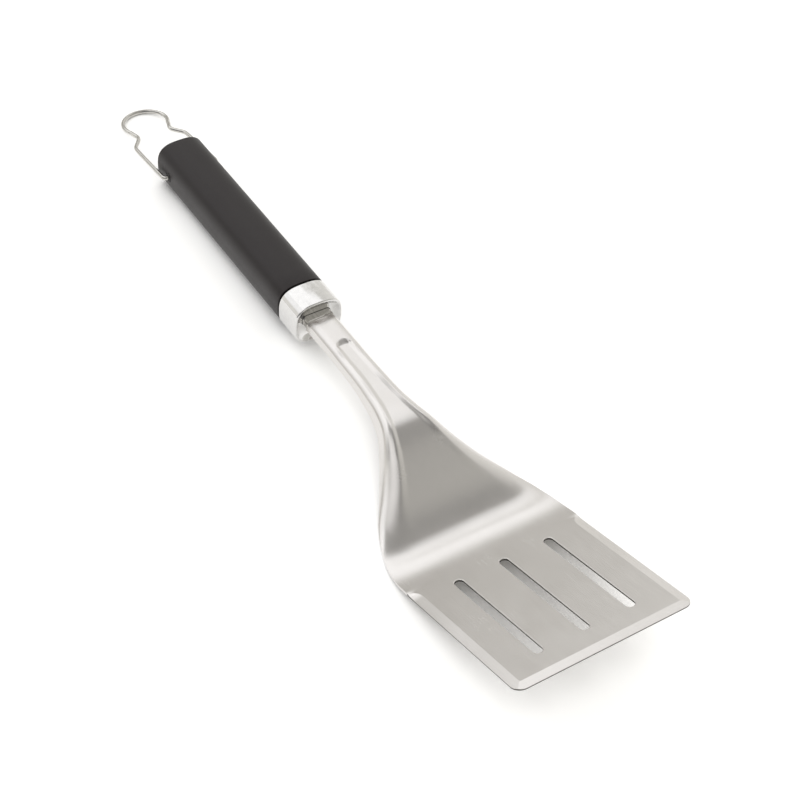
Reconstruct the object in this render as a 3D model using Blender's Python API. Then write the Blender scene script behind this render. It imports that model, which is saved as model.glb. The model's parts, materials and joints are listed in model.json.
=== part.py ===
"""Grill spatula: a slotted, pressed steel blade and shank, a chrome ferrule, a soft-touch grip on a
moulded core, and a wire hanging loop that swings on the rear of the handle.

Run with: blender --background --python part.py

The blade is drawn in its own frame: +Y runs from the front edge to the handle, +Z is up, and the top
face of the flat blade is z = 0. The handle pieces are drawn along a handle frame that rises from it,
and the loop in a frame on its pivot. One empty lays the whole tool down on its heel and the rear of
its handle. All sizes are in millimetres until a mesh is made.
"""

import math

import bmesh
import bpy
from mathutils import Matrix, Vector

MM = 0.001
GAP = 0.3
# How far a cutter runs past what it cuts
REACH = 40.0

# Blade
BLADE_WIDTH = 100.0
BLADE_FLAT_END = 92.0
SHEET = 1.4
CORNER_RADIUS = 5.5
GROUND_WIDTH = 4.9
GROUND_DROP = 0.9
GROUND_FADE_START = 79.0
SLOT_PITCH = 26.2
SLOT_WIDTH = 4.9
SLOT_FRONT = 15.5
SLOT_REAR = 84.5

# Neck and shank, as stations along the top centre line: place along Y, height of the centre line,
# half width over the flanges, half width of the flat floor, rise of the rounded shoulders above the
# floor and depth of the turned-down flange below the shoulders.
STATIONS = (
    (92.0, 0.0, 50.0, 42.0, 0.0, 0.0),
    (101.0, 0.6, 49.7, 41.0, 0.1, 0.8),
    (110.0, 2.6, 48.6, 39.5, 0.3, 2.6),
    (120.0, 6.2, 45.4, 36.5, 0.8, 4.4),
    (130.0, 12.2, 39.2, 29.0, 1.9, 6.4),
    (142.0, 21.2, 28.8, 18.0, 3.2, 8.6),
    (154.0, 30.6, 20.0, 10.5, 3.4, 9.6),
    (166.0, 39.4, 14.6, 6.5, 2.6, 9.2),
    (180.0, 46.8, 11.2, 4.6, 1.6, 7.8),
    (196.0, 52.8, 9.6, 3.6, 1.0, 6.4),
    (212.0, 57.9, 9.1, 3.4, 0.8, 5.8),
    (244.2, 68.0, 8.9, 3.4, 0.8, 5.6),
)
SHANK_END = 244.2
GROOVE_END = 221.5
GROOVE_STEP = 2.0
SHOULDER_ROUND = 5.0
ROW_STEP = 5.0
FLOOR_COLUMNS = 3
RAMP_COLUMNS = 4
ROUND_COLUMNS = 6

# Handle frame: the middle of the ferrule's rear face, and the rise of the handle above the blade
HANDLE_Y = 263.3
HANDLE_Z = 70.0
HANDLE_RISE = 17.0
SECTION_POWER = 2.9
SECTION_POINTS = 40

FERRULE_LENGTH = 17.2
FERRULE_HALF_WIDTH = 14.6
FERRULE_HALF_HEIGHT = 13.0
FERRULE_TAPER = 0.1
FERRULE_EDGE = 0.5
FERRULE_RIM = 0.3
FERRULE_RECESS = 4.8
RECESS_DRAFT = 0.4
FERRULE_WALL = 1.7
SPIGOT_LENGTH = 7.0

GASKET = 0.8
GRIP_END = 142.0
GRIP_HALF_WIDTH = 14.35
GRIP_HALF_HEIGHT = 12.7
GRIP_SKIN = 1.6
GRIP_EDGE = 1.4
CORE_END = 134.0
CAP_RECESS = 0.6
CAP_FACE = 4.0
CAP_WALL = 2.0

# Tang: a flat bar inside the shank and the handle, drawn to a stud for the nut behind the core
TANG_HALF_WIDTH = 4.4
TANG_THICK = 3.0
TANG_HEIGHT = 1.2
TANG_FRONT = -36.0
TANG_END = 102.0
STUD_RADIUS = 2.5
STUD_END = 119.0
STUD_OVERLAP = 4.0
NUT_SEAT = 108.0
NUT_POCKET_RADIUS = 6.6
NUT_ACROSS_FLATS = 8.0
NUT_THICK = 4.0
WASHER_RADIUS = 5.2
WASHER_THICK = 1.0
LOCK_WASHER_RADIUS = 4.3

# Polished neck between the shank and the ferrule
NECK_HALF_WIDTH = 8.6
NECK_TOP = 4.1
NECK_BOTTOM = -2.0
NECK_ROUND = 2.6
NECK_FRONT = -18.2
NECK_BACK = -9.6

SCREW_PLACES = (18.0, 88.0)
SCREW_RADIUS = 1.5
SCREW_HEAD_RADIUS = 2.9
SCREW_HEAD = 1.8
SCREW_BOTTOM = -8.6
SCREW_TOP = 8.2

# Hanging loop
WIRE_RADIUS = 1.25
PIVOT_PLACE = 127.5
LOOP_DROOP = 7.12
LEG_AT_PIVOT = 17.0
LEG_AT_KINK = 16.4
LEG_LENGTH = 37.0
LOOP_NECK = 10.4
LOOP_NECK_PLACE = 48.6
BULB_RADIUS = 13.4
BULB_CENTRE = 61.3
BULB_OFFSET = 1.4
WIRE_INNER_END = 8.4
WIRE_BEND = 2.2
BUSH_RADIUS = 2.5
BUSH_INNER = 9.4
BUSH_OUTER = 14.6

# Attitude on the table: blade tilted until the heel and the rear of the handle both touch
REST_TILT = 18.96


def clear_scene():
    for thing in list(bpy.data.objects):
        bpy.data.objects.remove(thing, do_unlink=True)


def new_collection(name):
    group = bpy.data.collections.new(name)
    bpy.context.scene.collection.children.link(group)
    return group


def new_material(name, colour, metallic, roughness):
    material = bpy.data.materials.new(name)
    material.use_nodes = True
    shader = material.node_tree.nodes["Principled BSDF"]
    shader.inputs["Base Color"].default_value = (*colour, 1.0)
    shader.inputs["Metallic"].default_value = metallic
    shader.inputs["Roughness"].default_value = roughness
    return material


def new_empty(name, parent, place, turn_x):
    """An empty placed in millimetres in its parent's frame, turned about X by degrees."""
    empty = bpy.data.objects.new(name, None)
    bpy.context.scene.collection.objects.link(empty)
    empty.parent = parent
    empty.location = Vector(place) * MM
    empty.rotation_euler = (math.radians(turn_x), 0.0, 0.0)
    return empty


def add_piece(name, mesh, group, parent, material=None):
    piece = bpy.data.objects.new(name, mesh)
    group.objects.link(piece)
    piece.parent = parent
    if material:
        mesh.materials.append(material)
        mesh.shade_smooth()
        mesh.set_sharp_from_angle(angle=math.radians(32))
    else:
        piece.hide_render = True
        piece.display_type = "WIRE"
    return piece


def mesh_from(bm, name):
    """Takes a bmesh drawn in millimetres and returns a mesh in metres with its faces outward."""
    bmesh.ops.scale(bm, vec=(MM, MM, MM), verts=bm.verts)
    bmesh.ops.recalc_face_normals(bm, faces=bm.faces)
    mesh = bpy.data.meshes.new(name)
    bm.to_mesh(mesh)
    bm.free()
    return mesh


def lofted(name, rings):
    """A closed solid through rings of points, each ring with the same count, capped at both ends."""
    bm = bmesh.new()
    rows = [[bm.verts.new(point) for point in ring] for ring in rings]
    count = len(rows[0])
    for first, second in zip(rows, rows[1:]):
        for i in range(count):
            j = (i + 1) % count
            bm.faces.new((first[i], first[j], second[j], second[i]))
    bm.faces.new(rows[0])
    bm.faces.new(rows[-1])
    return mesh_from(bm, name)


def prism(name, outline, low, high):
    """An outline of (x, y) points made solid between two heights."""
    return lofted(name, [[(x, y, z) for x, y in outline] for z in (low, high)])


def rod(name, axis, centre, radius, start, end, sides=24):
    """A round bar along one axis, from start to end, about a centre given for all three axes."""
    bm = bmesh.new()
    bmesh.ops.create_cone(
        bm, cap_ends=True, segments=sides, radius1=radius, radius2=radius, depth=end - start
    )
    turns = {"X": Matrix.Rotation(math.pi / 2, 3, "Y"), "Y": Matrix.Rotation(math.pi / 2, 3, "X")}
    if axis in turns:
        bmesh.ops.rotate(bm, matrix=turns[axis], verts=bm.verts)
    middle = Vector(centre)
    middle["XYZ".index(axis)] = (start + end) / 2
    bmesh.ops.translate(bm, vec=middle, verts=bm.verts)
    return mesh_from(bm, name)


def block(name, low, high):
    bm = bmesh.new()
    bmesh.ops.create_cube(bm, size=1.0)
    low, high = Vector(low), Vector(high)
    bmesh.ops.scale(bm, vec=high - low, verts=bm.verts)
    bmesh.ops.translate(bm, vec=(low + high) / 2, verts=bm.verts)
    return mesh_from(bm, name)


def combine(piece, other, operation):
    step = piece.modifiers.new(f"{operation.lower()} {other.name}", "BOOLEAN")
    step.operation = operation
    step.solver = "EXACT"
    step.object = other


def along(stations, place, column):
    """One column of the station table at a place, on a curve with no overshoot between stations."""
    last = len(stations) - 1
    k = max(i for i in range(last) if stations[i][0] <= place or i == 0)

    def slope(i):
        if i in (0, last):
            a, b = (0, 1) if i == 0 else (last - 1, last)
            return (stations[b][column] - stations[a][column]) / (stations[b][0] - stations[a][0])
        before = (stations[i][column] - stations[i - 1][column]) / (stations[i][0] - stations[i - 1][0])
        after = (stations[i + 1][column] - stations[i][column]) / (stations[i + 1][0] - stations[i][0])
        return 0.0 if before * after <= 0 else 2 * before * after / (before + after)

    width = stations[k + 1][0] - stations[k][0]
    t = min(max((place - stations[k][0]) / width, 0.0), 1.0)
    return (
        (2 * t**3 - 3 * t**2 + 1) * stations[k][column]
        + (t**3 - 2 * t**2 + t) * width * slope(k)
        + (3 * t**2 - 2 * t**3) * stations[k + 1][column]
        + (t**3 - t**2) * width * slope(k + 1)
    )


def ease(t):
    t = min(max(t, 0.0), 1.0)
    return t * t * (3 - 2 * t)


def blade_half(y):
    """Top of half a blade section as (x, height) points: flat, with the ground edge falling away."""
    half = BLADE_WIDTH / 2
    fade = 1 - ease((y - GROUND_FADE_START) / (BLADE_FLAT_END - GROUND_FADE_START))
    inner = half - GROUND_WIDTH
    plain = FLOOR_COLUMNS + RAMP_COLUMNS
    points = [(inner * i / plain, 0.0) for i in range(plain + 1)]
    for i in range(1, ROUND_COLUMNS + 1):
        t = i / ROUND_COLUMNS
        points.append((inner + GROUND_WIDTH * t, -GROUND_DROP * t * fade))
    return points


def neck_half(y):
    """Top of half a neck section: a floor, a ramp up to the shoulder, then round and down the flange."""
    half, floor, rise, flange = (along(STATIONS, y, column) for column in (2, 3, 4, 5))
    filled = ease((y - GROOVE_END) / GROOVE_STEP)
    round_width = min(SHOULDER_ROUND, half / 2)
    crest = half - round_width
    points = [(floor * i / FLOOR_COLUMNS, rise * filled) for i in range(FLOOR_COLUMNS + 1)]
    for i in range(1, RAMP_COLUMNS + 1):
        t = i / RAMP_COLUMNS
        points.append((floor + (crest - floor) * t, rise * max(ease(t), filled)))
    round_depth = min(round_width, flange)
    for i in range(1, ROUND_COLUMNS + 1):
        t = i / ROUND_COLUMNS
        angle = math.pi / 2 * t
        depth = round_depth * (1 - math.cos(angle)) + (flange - round_depth) * t**3
        points.append((crest + round_width * math.sin(angle), rise - depth))
    return points


def under_side(points):
    """The sheet's lower face: each top point moved square to the section by the sheet's thickness."""
    lower = []
    for i, (x, h) in enumerate(points):
        x0, h0 = points[max(i - 1, 0)]
        x1, h1 = points[min(i + 1, len(points) - 1)]
        if i == 0:
            x0, h0 = -x1, h1
        length = math.hypot(x1 - x0, h1 - h0)
        lower.append((x + (h1 - h0) / length * SHEET, h - (x1 - x0) / length * SHEET))
    return lower


def sheet_ring(y, top, bottom, centre, lean):
    """A closed ring from half sections: the top from right to left, then the underside back."""
    outline = list(reversed(top))
    outline += [(-x, h) for x, h in top[1:]]
    outline += [(-x, h) for x, h in reversed(bottom)]
    outline += bottom[1:]
    return [(x, y - h * math.sin(lean), centre + h * math.cos(lean)) for x, h in outline]


def blade_rings():
    """Rings from the front edge to the end of the flat: the first one is down on the ground edge."""
    lower = [(x, -SHEET) for x, _ in blade_half(0.0)]
    rings = [(0.0, [(x, -GROUND_DROP) for x, _ in lower])]
    fade_steps = 4
    places = [GROUND_WIDTH]
    for i in range(fade_steps):
        places.append(GROUND_FADE_START + (BLADE_FLAT_END - GROUND_FADE_START) * i / fade_steps)
    rings += [(y, blade_half(y)) for y in places]
    return [sheet_ring(y, top, lower, 0.0, 0.0) for y, top in rings]


def neck_rings():
    places = []
    y = BLADE_FLAT_END
    while y < SHANK_END - ROW_STEP / 2:
        if not GROOVE_END - 1 < y < GROOVE_END + GROOVE_STEP + 1:
            places.append(y)
        y += ROW_STEP
    places += [GROOVE_END, GROOVE_END + GROOVE_STEP, SHANK_END]
    rings = []
    for y in sorted(places):
        step = 0.5
        climb = along(STATIONS, y + step, 1) - along(STATIONS, y - step, 1)
        lean = math.atan2(climb, 2 * step) if BLADE_FLAT_END < y < SHANK_END else 0.0
        if y >= SHANK_END:
            lean = math.radians(HANDLE_RISE)
        top = neck_half(y)
        rings.append(sheet_ring(y, top, under_side(top), along(STATIONS, y, 1), lean))
    return rings


def slot_outline(x):
    """A round-ended slot seen from above."""
    radius = SLOT_WIDTH / 2
    outline = []
    for centre, start in ((SLOT_REAR - radius, 0.0), (SLOT_FRONT + radius, math.pi)):
        for i in range(9):
            angle = start + math.pi * i / 8
            outline.append((x + radius * math.cos(angle), centre + radius * math.sin(angle)))
    return outline


def corner_outline(side):
    """What a rounded front corner takes away from the square one."""
    half = BLADE_WIDTH / 2
    centre_x, centre_y = half - CORNER_RADIUS, CORNER_RADIUS
    outline = []
    for i in range(7):
        angle = math.pi / 2 * i / 6
        x = centre_x + CORNER_RADIUS * math.sin(angle)
        outline.append((side * x, centre_y - CORNER_RADIUS * math.cos(angle)))
    spare = 2.0
    outline += [(side * (half + spare), CORNER_RADIUS), (side * (half + spare), -spare)]
    outline.append((side * centre_x, -spare))
    return outline


def build_blade(group, cutters, parent, material):
    mesh = lofted("blade_and_shank", blade_rings() + neck_rings())
    blade = add_piece("blade_and_shank", mesh, group, parent, material)
    for k in (-1, 0, 1):
        outline = slot_outline(k * SLOT_PITCH)
        cutter = add_piece(f"slot_cut_{k + 2}", prism("slot_cut", outline, -REACH, REACH), cutters, parent)
        combine(blade, cutter, "DIFFERENCE")
    for side in (-1, 1):
        shape = prism("corner_cut", corner_outline(side), -REACH, REACH)
        combine(blade, add_piece(f"corner_cut_{side + 2}", shape, cutters, parent), "DIFFERENCE")


def section_ring(y, half_width, half_height, points=SECTION_POINTS, power=SECTION_POWER):
    """The handle's flattened round section, square to the handle at a place along it."""
    ring = []
    for i in range(points):
        angle = 2 * math.pi * (i + 0.5) / points
        c, s = math.cos(angle), math.sin(angle)
        x = math.copysign(abs(c) ** (2 / power), c) * half_width
        z = math.copysign(abs(s) ** (2 / power), s) * half_height
        ring.append((x, y, z))
    return ring


def section_bar(name, start, end, half_width, half_height, end_round=0.0, start_round=0.0):
    """A solid length of the handle's section, with either end rounded over."""
    rings = []
    steps = 4
    for place, radius, inward in ((start, start_round, 1), (end, end_round, -1)):
        rounding = []
        for i in range(steps if radius else 1):
            angle = math.pi / 2 * i / (steps - 1) if radius else math.pi / 2
            inset = radius * (1 - math.sin(angle))
            y = place + inward * radius * (1 - math.cos(angle))
            rounding.append(section_ring(y, half_width - inset, half_height - inset))
        rings += rounding if inward > 0 else reversed(rounding)
    return lofted(name, rings)


def round_block_ring(y, half_width, low, high, radius):
    """A ring of a rounded oblong: half width in X, from low to high in Z."""
    ring = []
    corners = ((1, high, 0.0), (-1, high, 90.0), (-1, low, 180.0), (1, low, 270.0))
    for side, edge, start in corners:
        cx = side * (half_width - radius)
        cz = edge - radius if edge == high else edge + radius
        for i in range(5):
            angle = math.radians(start + 90.0 * i / 4)
            ring.append((cx + radius * math.cos(angle), y, cz + radius * math.sin(angle)))
    return ring


def build_ferrule(group, cutters, handle, material):
    front = -FERRULE_LENGTH
    rings = []
    for i in range(4):
        angle = math.pi / 2 * i / 3
        inset = FERRULE_TAPER + FERRULE_EDGE * (1 - math.sin(angle))
        y = front + FERRULE_EDGE * (1 - math.cos(angle))
        rings.append(section_ring(y, FERRULE_HALF_WIDTH - inset, FERRULE_HALF_HEIGHT - inset))
    rings.append(section_ring(0.0, FERRULE_HALF_WIDTH, FERRULE_HALF_HEIGHT))
    ferrule = add_piece("ferrule", lofted("ferrule", rings), group, handle, material)

    mouth_width = FERRULE_HALF_WIDTH - FERRULE_TAPER - FERRULE_EDGE - FERRULE_RIM
    mouth_height = FERRULE_HALF_HEIGHT - FERRULE_TAPER - FERRULE_EDGE - FERRULE_RIM
    mouth = [
        section_ring(front - 1.0, mouth_width, mouth_height),
        section_ring(front + FERRULE_RECESS, mouth_width - RECESS_DRAFT, mouth_height - RECESS_DRAFT),
    ]
    recess = add_piece("ferrule_recess", lofted("ferrule_recess", mouth), cutters, handle)
    combine(ferrule, recess, "DIFFERENCE")

    pocket_mesh = section_bar(
        "ferrule_pocket",
        -SPIGOT_LENGTH - GAP,
        REACH,
        FERRULE_HALF_WIDTH - FERRULE_WALL,
        FERRULE_HALF_HEIGHT - FERRULE_WALL,
    )
    combine(ferrule, add_piece("ferrule_pocket", pocket_mesh, cutters, handle), "DIFFERENCE")

    hole = [
        round_block_ring(
            y, NECK_HALF_WIDTH + GAP, NECK_BOTTOM - GAP, NECK_TOP + GAP, NECK_ROUND + GAP
        )
        for y in (front - REACH, NECK_BACK + GAP)
    ]
    combine(ferrule, add_piece("neck_hole", lofted("neck_hole", hole), cutters, handle), "DIFFERENCE")
    slot = tang_block("tang_hole", -REACH, REACH, GAP)
    combine(ferrule, add_piece("tang_hole", slot, cutters, handle), "DIFFERENCE")


def tang_block(name, start, end, clearance):
    width = TANG_HALF_WIDTH + clearance
    thick = TANG_THICK / 2 + clearance
    low = (-width, start, TANG_HEIGHT - thick)
    high = (width, end, TANG_HEIGHT + thick)
    return block(name, low, high)


def build_neck(group, cutters, handle, material):
    rings = [
        round_block_ring(y, NECK_HALF_WIDTH, NECK_BOTTOM, NECK_TOP, NECK_ROUND)
        for y in (NECK_FRONT, NECK_BACK)
    ]
    neck = add_piece("neck_collar", lofted("neck_collar", rings), group, handle, material)
    slot = tang_block("neck_slot", NECK_FRONT - REACH, NECK_BACK + REACH, GAP)
    combine(neck, add_piece("neck_slot", slot, cutters, handle), "DIFFERENCE")


def build_tang(group, cutters, handle, material):
    bar = tang_block("tang_bar", TANG_FRONT, TANG_END, 0.0)
    tang = add_piece("tang_bar", bar, group, handle, material)
    centre = (0.0, 0.0, TANG_HEIGHT)
    stud = rod("tang_stud", "Y", centre, STUD_RADIUS, TANG_END - STUD_OVERLAP, STUD_END)
    combine(tang, add_piece("tang_stud", stud, cutters, handle), "UNION")
    for k, place in enumerate(SCREW_PLACES):
        hole = rod("h", "Z", (0.0, place, 0.0), SCREW_RADIUS + GAP, -REACH, REACH, 16)
        combine(tang, add_piece(f"tang_screw_hole_{k + 1}", hole, cutters, handle), "DIFFERENCE")


def core_cutters(cutters, handle):
    """What both core halves leave free: the tang, the nut's pocket, the screws and the loop bushes."""
    found = []

    def cut(name, mesh):
        found.append(add_piece(name, mesh, cutters, handle))

    cut("core_tang_slot", tang_block("core_tang_slot", -REACH, TANG_END + GAP, GAP))
    centre = (0.0, 0.0, TANG_HEIGHT)
    stud_start = TANG_END - STUD_OVERLAP - GAP
    cut("core_stud_hole", rod("h", "Y", centre, STUD_RADIUS + GAP, stud_start, STUD_END))
    cut("core_nut_pocket", rod("h", "Y", centre, NUT_POCKET_RADIUS, NUT_SEAT, NUT_SEAT + REACH))
    for k, place in enumerate(SCREW_PLACES):
        spot = (0.0, place, 0.0)
        shaft = rod("h", "Z", spot, SCREW_RADIUS + GAP, -REACH, SCREW_TOP + GAP, 16)
        cut(f"core_screw_hole_{k + 1}", shaft)
        head_top = SCREW_BOTTOM + SCREW_HEAD + GAP
        cut(f"core_head_hole_{k + 1}", rod("h", "Z", spot, SCREW_HEAD_RADIUS + GAP, -REACH, head_top))
    for side in (-1, 1):
        spot = (0.0, PIVOT_PLACE, 0.0)
        ends = sorted((side * (BUSH_INNER - GAP), side * REACH))
        cut(f"core_bush_hole_{side + 2}", rod("h", "X", spot, BUSH_RADIUS + GAP, *ends))
        ends = sorted((side * (WIRE_INNER_END - GAP), side * REACH))
        cut(f"core_wire_hole_{side + 2}", rod("h", "X", spot, WIRE_RADIUS + GAP, *ends))
    return found


def build_core(group, cutters, handle, material):
    half_width = GRIP_HALF_WIDTH - GRIP_SKIN - GAP
    half_height = GRIP_HALF_HEIGHT - GRIP_SKIN - GAP
    shared = core_cutters(cutters, handle)
    split = TANG_HEIGHT
    for name, low, high in (
        ("handle_core_upper", -REACH, split + GAP / 2),
        ("handle_core_lower", split - GAP / 2, REACH),
    ):
        mesh = section_bar(name, -SPIGOT_LENGTH, CORE_END, half_width, half_height)
        core = add_piece(name, mesh, group, handle, material)
        away = block(f"{name}_away", (-REACH, -REACH, low), (REACH, GRIP_END + REACH, high))
        combine(core, add_piece(f"{name}_away", away, cutters, handle), "DIFFERENCE")
        for cutter in shared:
            combine(core, cutter, "DIFFERENCE")


def build_gasket(group, cutters, handle, material):
    inset = 0.7
    width, height = GRIP_HALF_WIDTH - inset, GRIP_HALF_HEIGHT - inset
    mesh = section_bar("ferrule_gasket", GAP, GAP + GASKET, width, height)
    gasket = add_piece("ferrule_gasket", mesh, group, handle, material)
    width, height = GRIP_HALF_WIDTH - GRIP_SKIN, GRIP_HALF_HEIGHT - GRIP_SKIN
    hole = section_bar("gasket_hole", -REACH, REACH, width, height)
    combine(gasket, add_piece("gasket_hole", hole, cutters, handle), "DIFFERENCE")


def build_grip(group, cutters, handle, material):
    start = GASKET + 2 * GAP
    mesh = section_bar(
        "grip_sleeve", start, GRIP_END, GRIP_HALF_WIDTH, GRIP_HALF_HEIGHT, GRIP_EDGE, GAP
    )
    grip = add_piece("grip_sleeve", mesh, group, handle, material)
    width, height = GRIP_HALF_WIDTH - GRIP_SKIN, GRIP_HALF_HEIGHT - GRIP_SKIN
    bore = section_bar("grip_bore", -REACH, GRIP_END + REACH, width, height)
    combine(grip, add_piece("grip_bore", bore, cutters, handle), "DIFFERENCE")
    hole = rod("grip_bush_hole", "X", (0.0, PIVOT_PLACE, 0.0), BUSH_RADIUS + GAP, -REACH, REACH)
    combine(grip, add_piece("grip_bush_hole", hole, cutters, handle), "DIFFERENCE")


def build_end_cap(group, cutters, handle, material):
    half_width = GRIP_HALF_WIDTH - GRIP_SKIN - GAP
    half_height = GRIP_HALF_HEIGHT - GRIP_SKIN - GAP
    mesh = section_bar(
        "end_cap", CORE_END + GAP, GRIP_END - CAP_RECESS, half_width, half_height, GRIP_EDGE
    )
    cap = add_piece("end_cap", mesh, group, handle, material)
    inside = section_bar(
        "end_cap_inside",
        CORE_END - REACH,
        GRIP_END - CAP_FACE,
        half_width - CAP_WALL,
        half_height - CAP_WALL,
    )
    combine(cap, add_piece("end_cap_inside", inside, cutters, handle), "DIFFERENCE")


def build_nut_stack(group, cutters, handle, material):
    """Washer, lock washer and nut on the tang's stud, against the seat inside the core."""
    centre = (0.0, 0.0, TANG_HEIGHT)
    bore_mesh = rod("stud_bore", "Y", centre, STUD_RADIUS + GAP, NUT_SEAT, STUD_END + REACH)
    bore = add_piece("stud_bore", bore_mesh, cutters, handle)
    start = NUT_SEAT + GAP
    nut_radius = NUT_ACROSS_FLATS / math.sqrt(3)
    stack = (
        ("tang_washer", WASHER_RADIUS, WASHER_THICK, 24),
        ("tang_lock_washer", LOCK_WASHER_RADIUS, WASHER_THICK, 24),
        ("tang_nut", nut_radius, NUT_THICK, 6),
    )
    for name, radius, thick, sides in stack:
        mesh = rod(name, "Y", centre, radius, start, start + thick, sides)
        combine(add_piece(name, mesh, group, handle, material), bore, "DIFFERENCE")
        start += thick + GAP


def build_core_screws(group, cutters, handle, material):
    for k, place in enumerate(SCREW_PLACES):
        spot = (0.0, place, 0.0)
        name = f"core_screw_{k + 1}"
        mesh = rod(name, "Z", spot, SCREW_RADIUS, SCREW_BOTTOM + SCREW_HEAD / 2, SCREW_TOP, 16)
        screw = add_piece(name, mesh, group, handle, material)
        head_top = SCREW_BOTTOM + SCREW_HEAD
        head_mesh = rod("screw_head", "Z", spot, SCREW_HEAD_RADIUS, SCREW_BOTTOM, head_top, 20)
        head = add_piece(f"screw_head_{k + 1}", head_mesh, cutters, handle)
        combine(screw, head, "UNION")
        recess = 1.0
        for turn, (wide, long) in enumerate(((0.4, 1.8), (1.8, 0.4))):
            low = (-wide, place - long, SCREW_BOTTOM - 1.0)
            high = (wide, place + long, SCREW_BOTTOM + recess)
            cross = add_piece(f"cross_{k + 1}_{turn + 1}", block("cross", low, high), cutters, handle)
            combine(screw, cross, "DIFFERENCE")


def arc_points(centre, radius, start, end, count):
    """Points on a round stretch in the loop's plane, angles in degrees."""
    for i in range(count + 1):
        angle = math.radians(start + (end - start) * i / count)
        yield centre[0] + radius * math.cos(angle), centre[1] + radius * math.sin(angle)


def loop_half():
    """Half of the wire's centre line as (x, distance from the pivot), from inside the handle out to
    the middle of the bulb."""
    points = [(WIRE_INNER_END, 0.0)]
    points += arc_points((LEG_AT_PIVOT - WIRE_BEND, WIRE_BEND), WIRE_BEND, -90.0, 0.0, 5)
    points += [(LEG_AT_KINK + 0.4, LEG_LENGTH * 0.5), (LEG_AT_KINK, LEG_LENGTH)]
    swing = 8
    for i in range(1, swing):
        t = i / swing
        x = LEG_AT_KINK + (LOOP_NECK - LEG_AT_KINK) * ease(t)
        points.append((x, LEG_LENGTH + (LOOP_NECK_PLACE - LEG_LENGTH) * t))
    points.append((LOOP_NECK, LOOP_NECK_PLACE))
    low = -28.0
    join = next(arc_points((0.0, BULB_CENTRE), BULB_RADIUS, low, low, 1))
    for i in range(1, 4):
        t = i / 4
        x = LOOP_NECK + (join[0] - LOOP_NECK) * ease(t)
        points.append((x, LOOP_NECK_PLACE + (join[1] - LOOP_NECK_PLACE) * t))
    points += arc_points((0.0, BULB_CENTRE), BULB_RADIUS, low, 90.0, 14)
    return points


def build_loop(group, pivot, material):
    half = loop_half()
    route = half + [(-x, u) for x, u in reversed(half[:-1])]
    reach = BULB_CENTRE - LEG_LENGTH
    route = [(x + BULB_OFFSET * ease((u - LEG_LENGTH) / reach), u) for x, u in route]
    curve = bpy.data.curves.new("hanging_loop", "CURVE")
    curve.dimensions = "3D"
    curve.bevel_depth = WIRE_RADIUS * MM
    curve.bevel_resolution = 2
    curve.use_fill_caps = True
    spline = curve.splines.new("POLY")
    spline.points.add(len(route) - 1)
    for point, (x, u) in zip(spline.points, route):
        point.co = (x * MM, u * MM, 0.0, 1.0)
    curve.materials.append(material)
    loop = bpy.data.objects.new("hanging_loop", curve)
    group.objects.link(loop)
    loop.parent = pivot


def build_bushes(group, cutters, handle, material):
    spot = (0.0, PIVOT_PLACE, 0.0)
    clearance = 0.25
    bore_mesh = rod("bush_bore", "X", spot, WIRE_RADIUS + clearance, -REACH, REACH)
    bore = add_piece("bush_bore", bore_mesh, cutters, handle)
    for name, side in (("loop_bush_left", -1), ("loop_bush_right", 1)):
        ends = sorted((side * BUSH_INNER, side * BUSH_OUTER))
        mesh = rod(name, "X", spot, BUSH_RADIUS, *ends)
        combine(add_piece(name, mesh, group, handle, material), bore, "DIFFERENCE")


def stand_on_floor(rest, group):
    """Moves the whole tool so that the middle of its footprint is the origin and it rests on z = 0."""
    bpy.context.view_layer.update()
    graph = bpy.context.evaluated_depsgraph_get()
    corners = []
    for piece in group.objects:
        shaped = piece.evaluated_get(graph)
        mesh = shaped.to_mesh()
        corners += [shaped.matrix_world @ vertex.co for vertex in mesh.vertices]
        shaped.to_mesh_clear()
    low = Vector([min(point[i] for point in corners) for i in range(3)])
    high = Vector([max(point[i] for point in corners) for i in range(3)])
    rest.location -= Vector(((low.x + high.x) / 2, (low.y + high.y) / 2, low.z))
    bpy.context.view_layer.update()


def main():
    clear_scene()
    group = new_collection("grill_spatula")
    cutters = new_collection("cutters")
    steel = new_material("brushed_steel", (0.56, 0.54, 0.51), 1.0, 0.32)
    polished = new_material("polished_steel", (0.66, 0.64, 0.62), 1.0, 0.12)
    chrome = new_material("chrome", (0.80, 0.80, 0.80), 1.0, 0.08)
    soft_touch = new_material("soft_touch_grip", (0.050, 0.046, 0.046), 0.0, 0.55)
    moulded = new_material("moulded_core", (0.04, 0.04, 0.04), 0.0, 0.5)
    rubber = new_material("gasket_rubber", (0.015, 0.015, 0.015), 0.0, 0.8)
    zinc = new_material("zinc_fastener", (0.55, 0.55, 0.52), 1.0, 0.35)

    rest = new_empty("rest_attitude", None, (0, 0, 0), -REST_TILT)
    handle = new_empty("handle_frame", rest, (0, HANDLE_Y, HANDLE_Z), HANDLE_RISE)
    pivot = new_empty("loop_pivot", handle, (0, PIVOT_PLACE, 0), -LOOP_DROOP)

    build_blade(group, cutters, rest, steel)
    build_tang(group, cutters, handle, zinc)
    build_neck(group, cutters, handle, polished)
    build_ferrule(group, cutters, handle, chrome)
    build_gasket(group, cutters, handle, rubber)
    build_core(group, cutters, handle, moulded)
    build_core_screws(group, cutters, handle, zinc)
    build_nut_stack(group, cutters, handle, zinc)
    build_grip(group, cutters, handle, soft_touch)
    build_end_cap(group, cutters, handle, moulded)
    build_bushes(group, cutters, handle, moulded)
    build_loop(group, pivot, polished)
    stand_on_floor(rest, group)


main()
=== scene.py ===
"""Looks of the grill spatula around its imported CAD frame.

Shapes are drawn in millimetres in the tool's own frames and placed by matrices: the blade frame
(+Y from the front edge to the handle, z = 0 on the blade's top face), the handle frame, and the
loop's frame on its pivot. The CAD frame's joint and boxes give the scale and where these stand.
"""

import json
import math

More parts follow.
